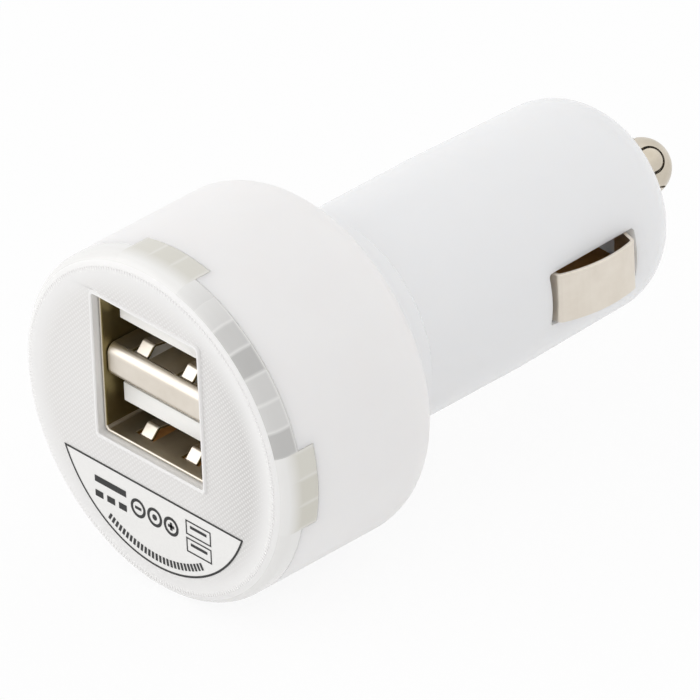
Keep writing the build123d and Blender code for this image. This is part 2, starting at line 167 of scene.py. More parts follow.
def moulded_plastic(name, light, dark, roughness, glow, glow_depth):
    """White moulding: cloudy colour, orange peel, and light that spreads inside."""
    material, tree, shader, place = start_material(
        name, light, IOR=1.5, Roughness=roughness, Subsurface_Weight=glow, Subsurface_Scale=glow_depth,
        Subsurface_Radius=GLOW_TINT,
    )
    cloud = add(tree, "ShaderNodeTexNoise", {"Vector": place, "Scale": 1 / CLOUD_SIZE, "Detail": 2.0})
    colour = add(
        tree, "ShaderNodeMix",
        {"Factor": cloud.outputs["Fac"], COLOUR_A: linear(dark), COLOUR_B: linear(light)},
        data_type="RGBA",
    )
    peel = add(tree, "ShaderNodeTexNoise", {"Vector": place, "Scale": 1 / PEEL_SIZE, "Detail": 1.0})
    relief = add(
        tree, "ShaderNodeBump", {"Height": peel.outputs["Fac"], "Strength": 0.05, "Distance": PEEL_DEPTH}
    )
    wire(tree, shader, {"Base Color": colour.outputs[COLOUR_OUT], "Normal": relief.outputs["Normal"]})
    return material


finishes = {
    # Cool white with a soft sheen along the barrel
    "barrel_plastic": moulded_plastic(
        "gloss_abs", "f4f4f5", "f1f1f2", roughness=0.26, glow=0.6, glow_depth=2.0 * MM
    ),
    # Warmer white whose shadows are never quite dark
    "head_plastic": moulded_plastic(
        "milky_polystyrene", "f8f6f5", "f4f1f0", roughness=0.33, glow=0.5, glow_depth=2.0 * MM
    ),
    # Dense, nearly matt white
    "tongue_plastic": moulded_plastic(
        "white_pbt", "fbfaf7", "f5f4f0", roughness=0.4, glow=0.2, glow_depth=0.4 * MM
    ),
}
print("moulded:", ", ".join(finishes))

# %% [markdown]
# ## Clear styrene
#
# The front is one clear moulding, and most of its rim is frosted and looks white. Plastic that is all
# clear needs many bounces of light and shows every join inside. So the clear finish lets about half of
# the light through and the frosted one little, and both have the slight waviness of a thick moulding.

# %% Clear and frosted styrene
STYRENE_IOR = 1.49
WAVE_SIZE = 1.5 * MM
WAVE_DEPTH = 0.006 * MM


def clear_styrene(name, colour, clearness, roughness):
    """Smooth styrene with the slight waviness of a thick moulding."""
    material, tree, shader, place = start_material(
        name, colour, IOR=STYRENE_IOR, Transmission_Weight=clearness, Roughness=roughness
    )
    wave = add(tree, "ShaderNodeTexNoise", {"Vector": place, "Scale": 1 / WAVE_SIZE, "Detail": 1.0})
    relief = add(
        tree, "ShaderNodeBump", {"Height": wave.outputs["Fac"], "Strength": 0.2, "Distance": WAVE_DEPTH}
    )
    wire(tree, shader, {"Normal": relief.outputs["Normal"]})
    return material


# Pale, half see-through and shiny
finishes["clear_plastic"] = clear_styrene("clear_styrene", "faf9f7", clearness=0.55, roughness=0.12)
# White with a soft sheen, like thin ice
frosted = clear_styrene("frosted_styrene", "fefdfc", clearness=0.12, roughness=0.3)
print("styrene:", finishes["clear_plastic"].name, frosted.name)

# %% [markdown]
# The face is cut all over with fine crossing grooves, which scatter the light. They are a third of a
# millimetre apart and far too many to model, so two crossed waves shade and dent the surface instead.
# Right of the window the face is painted a little darker, as painted shade, and close to the rim the
# grooves run out.

# %% Grooved styrene
GROOVE_PITCH = 0.36 * MM
GROOVE_DEPTH = 0.03 * MM
GROOVES_FULL, GROOVES_OUT = 12.6 * MM, 14.8 * MM
# Where the painted shade on the right of the face starts, and where it is full
PAINTED_SHADE_START, PAINTED_SHADE_FULL = 5.0 * MM, 12.0 * MM

# Radians that Blender's wave texture runs through in each unit, at a scale of 1
WAVE_RADIANS = 20


def grooved_painted_shade_styrene(name, light, dark, painted_shade_right):
    """Styrene cut with two sets of grooves that cross at right angles, with painted shade towards its
    right.
    """
    material, tree, shader, place = start_material(
        name, light, IOR=STYRENE_IOR, Transmission_Weight=0.15, Roughness=0.3
    )
    sets = []
    for turn in (45, -45):
        turned = add(tree, "ShaderNodeMapping", {"Vector": place, "Rotation": (0, math.radians(turn), 0)})
        grooves = add(
            tree, "ShaderNodeTexWave",
            {"Vector": turned.outputs[0], "Scale": 2 * math.pi / WAVE_RADIANS / GROOVE_PITCH},
            bands_direction="X",
        )
        sets.append(grooves.outputs["Fac"])
    crossed = add(tree, "ShaderNodeMath", {0: sets[0], 1: sets[1]}, operation="MULTIPLY").outputs[0]
    level = add(tree, "ShaderNodeVectorMath", {0: place, 1: (1, 0, 1)}, operation="MULTIPLY").outputs[0]
    radius = add(tree, "ShaderNodeVectorMath", {0: level}, operation="LENGTH").outputs["Value"]
    run_out = add(
        tree, "ShaderNodeMapRange", {"Value": radius, "From Min": GROOVES_FULL, "From Max": GROOVES_OUT}
    ).outputs["Result"]
    height = add(tree, "ShaderNodeMath", {0: crossed, 1: run_out}, operation="MAXIMUM").outputs[0]
    # Painted shade: the face is mixed towards a darker colour across to its right
    across = add(tree, "ShaderNodeSeparateXYZ", {"Vector": place}).outputs["X"]
    right = add(
        tree, "ShaderNodeMapRange", {"Value": across, "From Min": PAINTED_SHADE_START, "From Max": PAINTED_SHADE_FULL}
    ).outputs["Result"]
    low = add(
        tree, "ShaderNodeMix", {"Factor": right, COLOUR_A: linear(dark), COLOUR_B: linear(painted_shade_right)},
        data_type="RGBA",
    ).outputs[COLOUR_OUT]
    colour = add(
        tree, "ShaderNodeMix", {"Factor": height, COLOUR_A: low, COLOUR_B: linear(light)}, data_type="RGBA"
    )
    relief = add(tree, "ShaderNodeBump", {"Height": height, "Strength": 0.5, "Distance": GROOVE_DEPTH})
    wire(tree, shader, {"Base Color": colour.outputs[COLOUR_OUT], "Normal": relief.outputs["Normal"]})
    return material


# White with a silky weave of fine lines, and painted shade towards its right
grooved_face = grooved_painted_shade_styrene("grooved_painted_shade_styrene", "fdfcfb", "efedeb", "dcdad8")
print(grooved_face.name, "has a groove every", GROOVE_PITCH / MM, "mm")

# %% [markdown]
# ## Ribbed styrene with painted shade
#
# The outer part of the rim is polished, and ribs and the shade of the head show through it, most of all
# between the top tab and the right tab. Clear plastic over ribs would need many bounces of light to come
# out clean, so the look is painted into the colour: the angle round the axis is cut into even steps, each
# step gets its own painted shade, and a painted highlight line stands where a rib meets the rim. The
# painted shade thins out away from that quarter, and along the axis towards the plastic next to it.

# %% Painted shade on the ribbed rim and tabs
RIB_COUNT = 40
RIB_HIGHLIGHT = 0.1
HALF_STEP = 0.5
# Middle, half width and end of the quarter that carries the painted shade, as angles round the axis
SHADE_MIDDLE, SHADE_HALF, SHADE_END = (math.radians(angle) for angle in (35, 22, 45))
RIM_FADE = 0.35 * MM
TAB_OVERLAP = 0.2 * MM
TAB_FADE = 1.6 * MM


def painted_rib_shade_styrene(name, light, dark, pale, full_y, faded_y, thinning, highlight_share):
    """Styrene with ribs behind it: a painted shade for each step between two ribs, and a painted highlight
    line on each rib.
    """
    material, tree, shader, place = start_material(
        name, light, IOR=STYRENE_IOR, Transmission_Weight=0.1, Roughness=0.2
    )
    apart = add(tree, "ShaderNodeSeparateXYZ", {"Vector": place}).outputs
    angle = add(tree, "ShaderNodeMath", {0: apart["Z"], 1: apart["X"]}, operation="ARCTAN2").outputs[0]
    step = add(
        tree, "ShaderNodeMath", {0: angle, 1: RIB_COUNT / (2 * math.pi), 2: -HALF_STEP},
        operation="MULTIPLY_ADD",
    ).outputs[0]
    number = add(tree, "ShaderNodeMath", {0: step}, operation="FLOOR").outputs[0]
    chance = add(tree, "ShaderNodeTexWhiteNoise", {"W": number}, noise_dimensions="1D").outputs["Value"]
    # Painted shade: each step between two ribs gets its own darker colour
    shade = add(
        tree, "ShaderNodeMix", {"Factor": chance, COLOUR_A: linear(dark), COLOUR_B: linear(light)},
        data_type="RGBA",
    ).outputs[COLOUR_OUT]
    # Painted highlight: a light line where each rib meets the rim
    beside = add(tree, "ShaderNodeMath", {0: step, 1: HALF_STEP}, operation="PINGPONG").outputs[0]
    line = add(
        tree, "ShaderNodeMapRange",
        {"Value": beside, "From Max": RIB_HIGHLIGHT, "To Min": highlight_share, "To Max": 0.0},
    )
    turned = add(tree, "ShaderNodeMath", {0: angle, 1: SHADE_MIDDLE}, operation="SUBTRACT").outputs[0]
    away = add(tree, "ShaderNodeMath", {0: turned}, operation="ABSOLUTE").outputs[0]
    thin = add(
        tree, "ShaderNodeMapRange",
        {"Value": away, "From Min": SHADE_HALF, "From Max": SHADE_END, "To Max": thinning},
    )
    aside = add(
        tree, "ShaderNodeMapRange", {"Value": apart["Y"], "From Min": full_y, "From Max": faded_y}
    )
    paler = line.outputs["Result"]
    for fade in (thin, aside):
        paler = add(
            tree, "ShaderNodeMath", {0: paler, 1: fade.outputs["Result"]}, operation="MAXIMUM"
        ).outputs[0]
    colour = add(
        tree, "ShaderNodeMix", {"Factor": paler, COLOUR_A: shade, COLOUR_B: linear(pale)}, data_type="RGBA"
    )
    wire(tree, shader, {"Base Color": colour.outputs[COLOUR_OUT]})
    return material


# Blocks of grey painted shade that fade to white
rim_painted_shade = painted_rib_shade_styrene(
    "rim_styrene_painted_shade", "e3e2e0", "c6c5c3", "fcfbf9",
    full_y=SEAM_Y - RIM_FADE, faded_y=SEAM_Y, thinning=0.92, highlight_share=0.6,
)
# Cream with painted shade and painted highlight lines, where the clear tabs lie on the head
tab_painted_shade = painted_rib_shade_styrene(
    "tab_styrene_painted_shade", "e9e7df", "dcd9ce", "fbfaf8",
    full_y=SEAM_Y - TAB_OVERLAP, faded_y=SEAM_Y - TAB_FADE, thinning=0.0, highlight_share=0.4,
)
print("ribbed:", rim_painted_shade.name, tab_painted_shade.name, "with", RIB_COUNT, "ribs")

# %% [markdown]
# ## Plated and bare metals
#
# The contacts are stamped from strip and nickel plated, which is warmer than chrome. Rolling leaves
# a fine grain, so the gloss varies at a quarter of a millimetre, and handling leaves a soft mottle. The
# tip is rubbed in every socket, so its plating is darker and more uneven. Noise in the object's own
# coordinates keeps these marks at one size on pieces as unlike as a spring and a can.

# %% Nickel, gold, steel and brass
MOTTLE_SIZE = 1.8 * MM
ROLLED_GRAIN = 0.25 * MM
ROLLED_DEPTH = 0.003 * MM
GLOSS_SPREAD = 0.07


def stamped_metal(name, light, dark, roughness):
    """Metal strip with a soft mottle and a fine rolled grain."""
    material, tree, shader, place = start_material(name, light, Metallic=1.0)
    mottle = add(tree, "ShaderNodeTexNoise", {"Vector": place, "Scale": 1 / MOTTLE_SIZE, "Detail": 3.0})
    colour = add(
        tree, "ShaderNodeMix",
        {"Factor": mottle.outputs["Fac"], COLOUR_A: linear(dark), COLOUR_B: linear(light)},
        data_type="RGBA",
    )
    grain = add(tree, "ShaderNodeTexNoise", {"Vector": place, "Scale": 1 / ROLLED_GRAIN, "Detail": 2.0})
    gloss = add(tree, "ShaderNodeMapRange", {
        "Value": grain.outputs["Fac"],
        "To Min": roughness - GLOSS_SPREAD,
        "To Max": roughness + GLOSS_SPREAD,
    })
    relief = add(
        tree, "ShaderNodeBump", {"Height": grain.outputs["Fac"], "Strength": 0.15, "Distance": ROLLED_DEPTH}
    )
    wire(tree, shader, {
        "Base Color": colour.outputs[COLOUR_OUT],
        "Roughness": gloss.outputs["Result"],
        "Normal": relief.outputs["Normal"],
    })
    return material


metals = {
    # Warm, satin silver
    "nickel_plate": stamped_metal("nickel_plate", "ebe4d9", "dcd3c6", roughness=0.36),
    # A glint of yellow deep in the ports
    "contact_gold": stamped_metal("gold_flash", "e8c987", "d9b266", roughness=0.25),
    # Neutral grey with sharp lights along the wire
    "spring_steel": stamped_metal("spring_steel", "b4b4b6", "8d8d8f", roughness=0.3),
    # Dull yellow
    "seat_brass": stamped_metal("stamped_brass", "d4b472", "bb974f", roughness=0.33),
}
finishes |= metals
# Nickel with its shine rubbed off in patches
tip_nickel = stamped_metal("worn_tip_nickel", "e0d8ca", "b6ac9a", roughness=0.33)
# Brown and light grey nickel, painted shade that makes the ports look deep
wall_painted_shade_nickel = stamped_metal("wall_nickel_painted_shade", "9c8e66", "7d7049", roughness=0.42)
floor_painted_shade_nickel = stamped_metal("floor_nickel_painted_shade", "d6ccb8", "b9ad95", roughness=0.42)
print("metals:", ", ".join(metals), tip_nickel.name, wall_painted_shade_nickel.name, floor_painted_shade_nickel.name)

# %% [markdown]
# ## Board and the pieces on it
#
# Little of the board shows, through the slits over the side contacts and the windows in the lower port's
# floor. Each piece on it still has its own colour and a grain at its own scale: paper fibres, ferrite
# grit, the wrinkled sleeve of a capacitor. Only these few values differ, so one function serves them all,
# and the print on the label too.

# %% Small materials inside
GRAIN_DEPTH = 0.01 * MM


def grained(name, light, dark, roughness, size, **sockets):
    """A colour with a grain of a given size that shades it and roughens it."""
    material, tree, shader, place = start_material(name, light, Roughness=roughness, **sockets)
    grain = add(tree, "ShaderNodeTexNoise", {"Vector": place, "Scale": 1 / size, "Detail": 3.0})
    colour = add(
        tree, "ShaderNodeMix",
        {"Factor": grain.outputs["Fac"], COLOUR_A: linear(dark), COLOUR_B: linear(light)},
        data_type="RGBA",
    )
    relief = add(
        tree, "ShaderNodeBump", {"Height": grain.outputs["Fac"], "Strength": 0.3, "Distance": GRAIN_DEPTH}
    )
    wire(tree, shader, {"Base Color": colour.outputs[COLOUR_OUT], "Normal": relief.outputs["Normal"]})
    return material


inside = {
    # Amber brown, the warm glow in the slits
    "phenolic_board": grained("phenolic_paper", "e6b374", "cc9450", roughness=0.45, size=0.5 * MM),
    # Sooty grey
    "ferrite": grained("ferrite", "454547", "333335", roughness=0.55, size=0.3 * MM),
    # Shiny red brown
    "copper_wire": grained(
        "enamelled_copper", "d08648", "b06230", roughness=0.28, size=0.4 * MM, Metallic=1.0
    ),
    # Mustard with a plastic shine
    "capacitor_sleeve": grained("shrunk_sleeve", "b08c46", "94732f", roughness=0.35, size=0.8 * MM),
    # Matt black
    "chip_epoxy": grained("moulded_epoxy", "222224", "161617", roughness=0.6, size=0.15 * MM),
    # Biscuit brown
    "ceramic_tan": grained("fired_ceramic", "b59870", "a08158", roughness=0.45, size=0.3 * MM),
    # Leaf green
    "fuse_body": grained("fuse_coating", "3f8049", "2f6b3a", roughness=0.45, size=0.4 * MM),
    # Bluish and nearly clear
    "led_lens": clear_styrene("led_epoxy", "eef2f8", clearness=0.8, roughness=0.15),
}
finishes |= inside
# Flat black and a slightly grey white, so the print looks printed
print_ink = grained("print_ink", "202020", "141414", roughness=0.5, size=0.2 * MM)
label_white = grained("label_white", "f0efed", "ebeae8", roughness=0.5, size=0.3 * MM)
print("inside:", ", ".join(inside))

# %% [markdown]
# ## First coat
#
# Every CAD node already has a slot in the record that says what it is made of. Going by that list gives
# all of them their finish in one loop, hidden pieces too, so no node is left grey in any pose or view.
# Only the tip gets its own worn nickel.

# %% Dress the CAD nodes
slot_of = {part["node"]: part["material_slot"] for part in record["subparts"]}
body_of = {name: body for body, names in record["behaviour"]["bodies"].items() for name in names}
for name, slot in slot_of.items():
    nodes[name].data.materials.clear()
    nodes[name].data.materials.append(finishes[slot])
nodes["tip_contact"].data.materials[0] = tip_nickel
print("dressed", len(slot_of), "nodes with", len(finishes), "finishes")

# %% [markdown]
# ## Turned shells
#
# The head shell and the front are turned round the plug's axis: a section is carried round in small
# steps, and each step is joined to the next. A Screw modifier could turn one fixed section. Here the
# section is a function of the angle, so the shell's notches and the front's tabs, four bars at the
# quarter hours, come out of the same code.

# %% Angles and sections
ROUND_STEPS = 360
BAR_COUNT = 4
BAR_TURN = 2 * math.pi / BAR_COUNT
PAIR_GAP = 1e-4
NOTCH_HALF = 4.0 * MM


def turn_angles(half_width):
    """Even angles round the axis, with a close pair at each side of the four bars."""
    half = math.asin(half_width / HEAD_RADIUS)
    sides = [bar * BAR_TURN + side * half for bar in range(BAR_COUNT) for side in (-1, 1)]
    edges = [angle + shift for angle in sides for shift in (-PAIR_GAP, PAIR_GAP)]
    even = [2 * math.pi * i / ROUND_STEPS for i in range(ROUND_STEPS)]
    spread = math.pi / ROUND_STEPS
    clear = [
        angle for angle in even
        if all(abs(math.remainder(angle - edge, 2 * math.pi)) > spread for edge in edges)
    ]
    return sorted(angle % (2 * math.pi) for angle in clear + edges)


def in_bar(angle, half_width):
    """True inside one of the four bars at the quarter hours."""
    return abs(math.remainder(angle, BAR_TURN)) < math.asin(half_width / HEAD_RADIUS)


def arc(radius, y, bend, start, end, steps):
    """Points (radius, y) on an arc about a centre in the section, angles in degrees."""
    turns = [math.radians(start + (end - start) * i / steps) for i in range(steps + 1)]
    return [(radius + bend * math.cos(turn), y + bend * math.sin(turn)) for turn in turns]


print(len(turn_angles(NOTCH_HALF)), "steps round the axis")

# %% From loops to a finished piece
SHARP_ANGLE = math.radians(35)


def turned_loops(mesh, section, angles):
    """Vertex loops round the axis, one for each point of the section, from +X towards +Z."""
    columns = [
        [
            mesh.verts.new((radius * math.cos(angle), y, radius * math.sin(angle)))
            for radius, y in section(angle)
        ]
        for angle in angles
    ]
    return [list(loop) for loop in zip(*columns)]


def skin(mesh, loops, material=0):
    """Quads between each loop of vertices and the next."""
    for first, second in zip(loops, loops[1:]):
        for i in range(len(first)):
            j = (i + 1) % len(first)
            mesh.faces.new((first[i], first[j], second[j], second[i])).material_index = material


def mesh_data(name, mesh, *materials):
    """Mesh data from a bmesh, with its faces outwards and its materials in order."""
    bmesh.ops.recalc_face_normals(mesh, faces=mesh.faces)
    data = bpy.data.meshes.new(name)
    mesh.to_mesh(data)
    mesh.free()
    for material in materials:
        data.materials.append(material)
    return data


def finish_piece(name, data, body):
    """Object for a mesh, smooth but for its sharp edges, riding on a body."""
    data.shade_smooth()
    data.set_sharp_from_angle(angle=SHARP_ANGLE)
    piece = bpy.data.objects.new(name, data)
    bpy.context.collection.objects.link(piece)
    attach(piece, body)
    return piece


print("edges over", round(math.degrees(SHARP_ANGLE)), "degrees stay sharp")

# %% [markdown]
# ## Head shell
#
# A cup with a large soft shoulder. The CAD solid has sharp front edges; here they get the small
# rounding of a moulding, which draws the fine light line along the seam. A bevel would have to find its
# way round the notches' corners, so the roundings are drawn in the section.

# %% Make the head shell
SEAM_GAP = 0.03 * MM
SOFT_EDGE = 0.07 * MM
REAR_ROUND = 4.0 * MM
REAR_WALL = 2.2 * MM
REAR_STEPS = 16
INNER_ROUND = REAR_ROUND - HEAD_WALL
INNER_STEPS = 6
NECK_RADIUS = 10.6 * MM


def shell_section(angle):
    """Closed section of the shell; its front edge steps back in the notches."""
    front = TAB_END_Y + SEAM_GAP if in_bar(angle, NOTCH_HALF) else SEAM_Y
    return [
        (HEAD_BORE, front + SOFT_EDGE),
        (HEAD_BORE + SOFT_EDGE, front),
        (HEAD_RADIUS - SOFT_EDGE, front),
        (HEAD_RADIUS, front + SOFT_EDGE),
        *arc(HEAD_RADIUS - REAR_ROUND, -REAR_ROUND, REAR_ROUND, 0, 90, REAR_STEPS),
        (NECK_RADIUS + SOFT_EDGE, 0),
        (NECK_RADIUS, -SOFT_EDGE),
        (NECK_RADIUS, -REAR_WALL),
        *arc(HEAD_BORE - INNER_ROUND, -REAR_WALL - INNER_ROUND, INNER_ROUND, 90, 0, INNER_STEPS),
    ]


mesh = bmesh.new()
loops = turned_loops(mesh, shell_section, turn_angles(NOTCH_HALF))
skin(mesh, loops + loops[:1])
head_data = mesh_data("head", mesh, finishes["head_plastic"])
head = finish_piece("head_shell_finish", head_data, "plug")
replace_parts(head, "head_shell")
print("head shell:", len(head_data.polygons), "faces")

# %% [markdown]
# ## Clear front
#
# The rim is turned like the shell. The face between it and the window runs from a circle to a rounded
# rectangle. Cutting the window out with a boolean would leave long, thin faces. Here both loops have the
# same number of points, so plain quads join them. Four finishes sit on the one mesh: ribbed rim with
# painted shade, grooved face with painted shade on its right, frosted edge and lip, and ribbed tabs with
# painted shade.

# %% Section of the rim
PLATE = 1.4 * MM
PLATE_BACK = FACE_Y + PLATE
PLATE_CORNER = 0.3 * MM
EDGE_ROUND = 1.6 * MM
EDGE_STEPS = 12
tab_half = NOTCH_HALF - SEAM_GAP


def front_section(angle):
    """Section from the face's edge over the rim and round the skirt to the back of the plate."""
    end = TAB_END_Y if in_bar(angle, tab_half) else SEAM_Y - SEAM_GAP
    return [
        *arc(HEAD_RADIUS - EDGE_ROUND, FACE_Y + EDGE_ROUND, EDGE_ROUND, -90, 0, EDGE_STEPS),
        (HEAD_RADIUS, end - SOFT_EDGE),
        (HEAD_RADIUS - SOFT_EDGE, end),
        (HEAD_BORE + SOFT_EDGE, end),
        (HEAD_BORE, end - SOFT_EDGE),
        (HEAD_BORE, PLATE_BACK + PLATE_CORNER),
        (HEAD_BORE - PLATE_CORNER, PLATE_BACK),
    ]


print("rim section:", len(front_section(0)), "points")

# %% [markdown]
# The window is a rounded rectangle with a low lip round it. Each of its loops has one point in the
# direction of each angle of the rim, worked out where that ray meets a side or a corner's arc.

# %% Loops round the window
SOCKET_STACK = 14.17 * MM
WINDOW_GAP = 0.1 * MM

# A ray along an axis would otherwise bring a division by zero
TINY = 1e-9

socket_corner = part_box("usb_shell")[1]
window_half = Vector((socket_corner.x + WINDOW_GAP, SOCKET_STACK / 2 + WINDOW_GAP))
window_z = socket_corner.z - SOCKET_STACK / 2


def window_loop(mesh, grow, corner, y, angles):
    """Loop on a rounded rectangle round the window, one point in the direction of each angle."""
    half = window_half + Vector((grow, grow))
    loop = []
    for angle in angles:
        way = Vector((math.cos(angle), math.sin(angle)))
        spot = way * min(half[i] / max(abs(way[i]), TINY) for i in (0, 1))
        core = Vector([math.copysign(half[i] - corner, spot[i]) for i in (0, 1)])
        if abs(spot.x) > abs(core.x) and abs(spot.y) > abs(core.y):
            along = way.dot(core)
            spot = way * (along + math.sqrt(max(along**2 - core.length_squared + corner**2, 0)))
        loop.append(mesh.verts.new((spot.x, y, window_z + spot.y)))
    return loop


print("window:", 2 * window_half.x, "by", 2 * window_half.y)

# %% Make the front
FROSTED_STEPS = 5
LIP_WIDTH = 0.35 * MM
LIP_CORNER = 0.5 * MM
LIP_SOFT = 0.1 * MM
WINDOW_CORNER = 0.3 * MM

# Number of the loop on the end of the skirt, two past the rim's arc
SKIRT_END = EDGE_STEPS + 2

# Places of the finishes in the mesh's list
RIM, FACE, FROST, TAB = range(4)

mesh = bmesh.new()
angles = turn_angles(tab_half)
rim = turned_loops(mesh, front_section, angles)
top_y = FACE_Y - LIP_HEIGHT
lip = [window_loop(mesh, grow, corner, y, angles) for grow, corner, y in (
    (LIP_WIDTH, LIP_CORNER, FACE_Y),
    (LIP_WIDTH - LIP_SOFT / 4, LIP_CORNER, top_y + LIP_SOFT),
    (LIP_WIDTH - LIP_SOFT, LIP_CORNER - LIP_SOFT, top_y),
    (LIP_SOFT, WINDOW_CORNER + LIP_SOFT, top_y),
    (0, WINDOW_CORNER, top_y + LIP_SOFT),
    (0, WINDOW_CORNER, PLATE_BACK),
)]
skin(mesh, rim[FROSTED_STEPS:SKIRT_END + 1], RIM)
for face in mesh.faces:
    middle = face.calc_center_median()
    if in_bar(math.atan2(middle.z, middle.x), tab_half):
        face.material_index = TAB
skin(mesh, rim[:FROSTED_STEPS + 1], FROST)
skin(mesh, rim[SKIRT_END:] + [lip[-1]], FROST)
skin(mesh, lip, FROST)
skin(mesh, [rim[0], lip[0]], FACE)
front_data = mesh_data("front", mesh, rim_painted_shade, grooved_face, frosted, tab_painted_shade)
front = finish_piece("front_cover_finish", front_data, "plug")
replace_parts(front, "front_cover")
print("front:", len(front_data.polygons), "faces")

# %% [markdown]
# ## What repeats
#
# Ribs stand behind the clear skirt, beads line the edge of the face, dashes are printed along the edge
# of the label, and turns of wire lie on the inductor. Each is one small shape set many times, which is
# work for Geometry Nodes. The first tree sets blocks round a circle; its result is baked to a plain mesh
# for the export.


# %% Blocks round a circle
def new_tree(name, inputs):
    """Geometry tree with named inputs and one geometry output."""
    tree = bpy.data.node_groups.new(name, "GeometryNodeTree")
    tree.interface.new_socket("Geometry", in_out="OUTPUT", socket_type="NodeSocketGeometry")
    for label, kind in inputs.items():
        tree.interface.new_socket(label, in_out="INPUT", socket_type="NodeSocket" + kind)
    return tree, add(tree, "NodeGroupInput").outputs


def ring_of_blocks():
    """Count blocks of a Size on a circle of a Radius round the axis, the ring's middle at Place."""
    tree, given = new_tree("ring_of_blocks", {
        "Count": "Int", "Radius": "Float", "Start": "Float", "Step": "Float", "Size": "Vector",
        "Place": "Vector", "Finish": "Material",
    })
    block = add(tree, "GeometryNodeMeshCube", {"Size": given["Size"]})
    reach = add(tree, "ShaderNodeCombineXYZ", {"X": given["Radius"]})
    arm = add(tree, "GeometryNodeTransform", {
        "Geometry": block.outputs[0], "Translation": reach.outputs[0],
    })
    index = add(tree, "GeometryNodeInputIndex")
    turn = add(
        tree, "ShaderNodeMath", {0: index.outputs[0], 1: given["Step"], 2: given["Start"]},
        operation="MULTIPLY_ADD",
    )
    spin = add(tree, "ShaderNodeCombineXYZ", {"Z": turn.outputs[0]})
    points = add(tree, "GeometryNodePoints", {"Count": given["Count"]})
    copies = add(tree, "GeometryNodeInstanceOnPoints", {
        "Points": points.outputs[0], "Instance": arm.outputs[0], "Rotation": spin.outputs[0],
    })
    upright = add(tree, "GeometryNodeTransform", {
        "Geometry": copies.outputs[0], "Rotation": (math.pi / 2, 0, 0), "Translation": given["Place"],
    })
    real = add(tree, "GeometryNodeRealizeInstances", {"Geometry": upright.outputs[0]})
    painted = add(tree, "GeometryNodeSetMaterial", {
        "Geometry": real.outputs[0], "Material": given["Finish"],
    })
    add(tree, "NodeGroupOutput", {"Geometry": painted.outputs[0]})
    return tree


ring = ring_of_blocks()
print(ring.name, "has", len(ring.nodes), "nodes")

# %% [markdown]
# Forty ribs stand in a ring behind the skirt and keep the board in its place. Little of them shows, so
# plain blocks will do. A modifier runs the tree on an empty mesh, and its result is kept as a mesh.


# %% Bake the ribs behind the skirt
def bake(name, tree, values):
    """Runs a tree on an empty mesh and keeps its result as a piece that rides on the plug."""
    maker = bpy.data.objects.new(name + "_maker", bpy.data.meshes.new(name + "_maker"))
    bpy.context.collection.objects.link(maker)
    modifier = maker.modifiers.new("make", "NODES")
    modifier.node_group = tree
    sockets = {item.name: item.identifier for item in tree.interface.items_tree if item.in_out == "INPUT"}
    for label, value in values.items():
        modifier[sockets[label]] = value
    done = maker.evaluated_get(bpy.context.evaluated_depsgraph_get())
    data = bpy.data.meshes.new_from_object(done)
    bpy.data.objects.remove(maker)
    piece = finish_piece(name, data, "plug")
    print(name + ":", len(data.polygons), "faces")
    return piece


RIB_DEPTH = 1.0 * MM
RIB_WIDTH = 0.45 * MM
RIB_REACH = 1.6 * MM
RIB_GAP = 0.1 * MM
rib_length = SEAM_Y + RIB_REACH - PLATE_BACK
bake("front_ribs", ring, {
    "Count": RIB_COUNT,
    "Radius": HEAD_BORE - RIB_GAP - RIB_DEPTH / 2,
    "Start": math.pi / RIB_COUNT,
    "Step": 2 * math.pi / RIB_COUNT,
    "Size": (RIB_DEPTH, RIB_WIDTH, rib_length),
    "Place": (0, PLATE_BACK + rib_length / 2, 0),
    "Finish": finishes["clear_plastic"],
})

# %% [markdown]
# Where the grooves of the face run out at the rim, each leaves a bright bead. A bump would leave the
# edge's outline smooth, so the beads are real blocks, half sunk in the rim. The same tree sets them.

# %% Beads at the edge of the face
BEAD_COUNT = 280
BEAD_LENGTH = 0.5 * MM
BEAD_WIDTH = 0.16 * MM
BEAD_HEIGHT = 0.12 * MM
BEAD_SINK = 0.05 * MM
bake("face_beads", ring, {
    "Count": BEAD_COUNT,
    "Radius": HEAD_RADIUS - EDGE_ROUND + BEAD_LENGTH / 2,
    "Start": 0.0,
    "Step": 2 * math.pi / BEAD_COUNT,
    "Size": (BEAD_LENGTH, BEAD_WIDTH, BEAD_HEIGHT),
    "Place": (0, FACE_Y + BEAD_SINK, 0),
    "Finish": frosted,
})


# %% [markdown]
# The winding of the inductor is one long wire, which a spiral curve could follow. A stack of rings looks
# the same from outside and needs no ends: a circle is swept round a circle to make one turn, and turns
# are set along a line from flange to flange.

# %% Turns of the inductor
def stack_of_turns():
    """Count rings of wire, one Step above the other, about an upright line that starts at Place."""
    tree, given = new_tree("stack_of_turns", {
        "Count": "Int", "Radius": "Float", "Wire": "Float", "Step": "Vector", "Place": "Vector",
        "Finish": "Material",
    })
    loop = add(tree, "GeometryNodeCurvePrimitiveCircle", {"Resolution": 48, "Radius": given["Radius"]})
    wire_round = add(tree, "GeometryNodeCurvePrimitiveCircle", {"Resolution": 8, "Radius": given["Wire"]})
    turn = add(tree, "GeometryNodeCurveToMesh", {
        "Curve": loop.outputs[0], "Profile Curve": wire_round.outputs[0],
    })
    line = add(tree, "GeometryNodeMeshLine", {
        "Count": given["Count"], "Start Location": given["Place"], "Offset": given["Step"],
    })
    copies = add(tree, "GeometryNodeInstanceOnPoints", {
        "Points": line.outputs[0], "Instance": turn.outputs[0],
    })
    real = add(tree, "GeometryNodeRealizeInstances", {"Geometry": copies.outputs[0]})
    painted = add(tree, "GeometryNodeSetMaterial", {
        "Geometry": real.outputs[0], "Material": given["Finish"],
    })
    add(tree, "NodeGroupOutput", {"Geometry": painted.outputs[0]})
    return tree


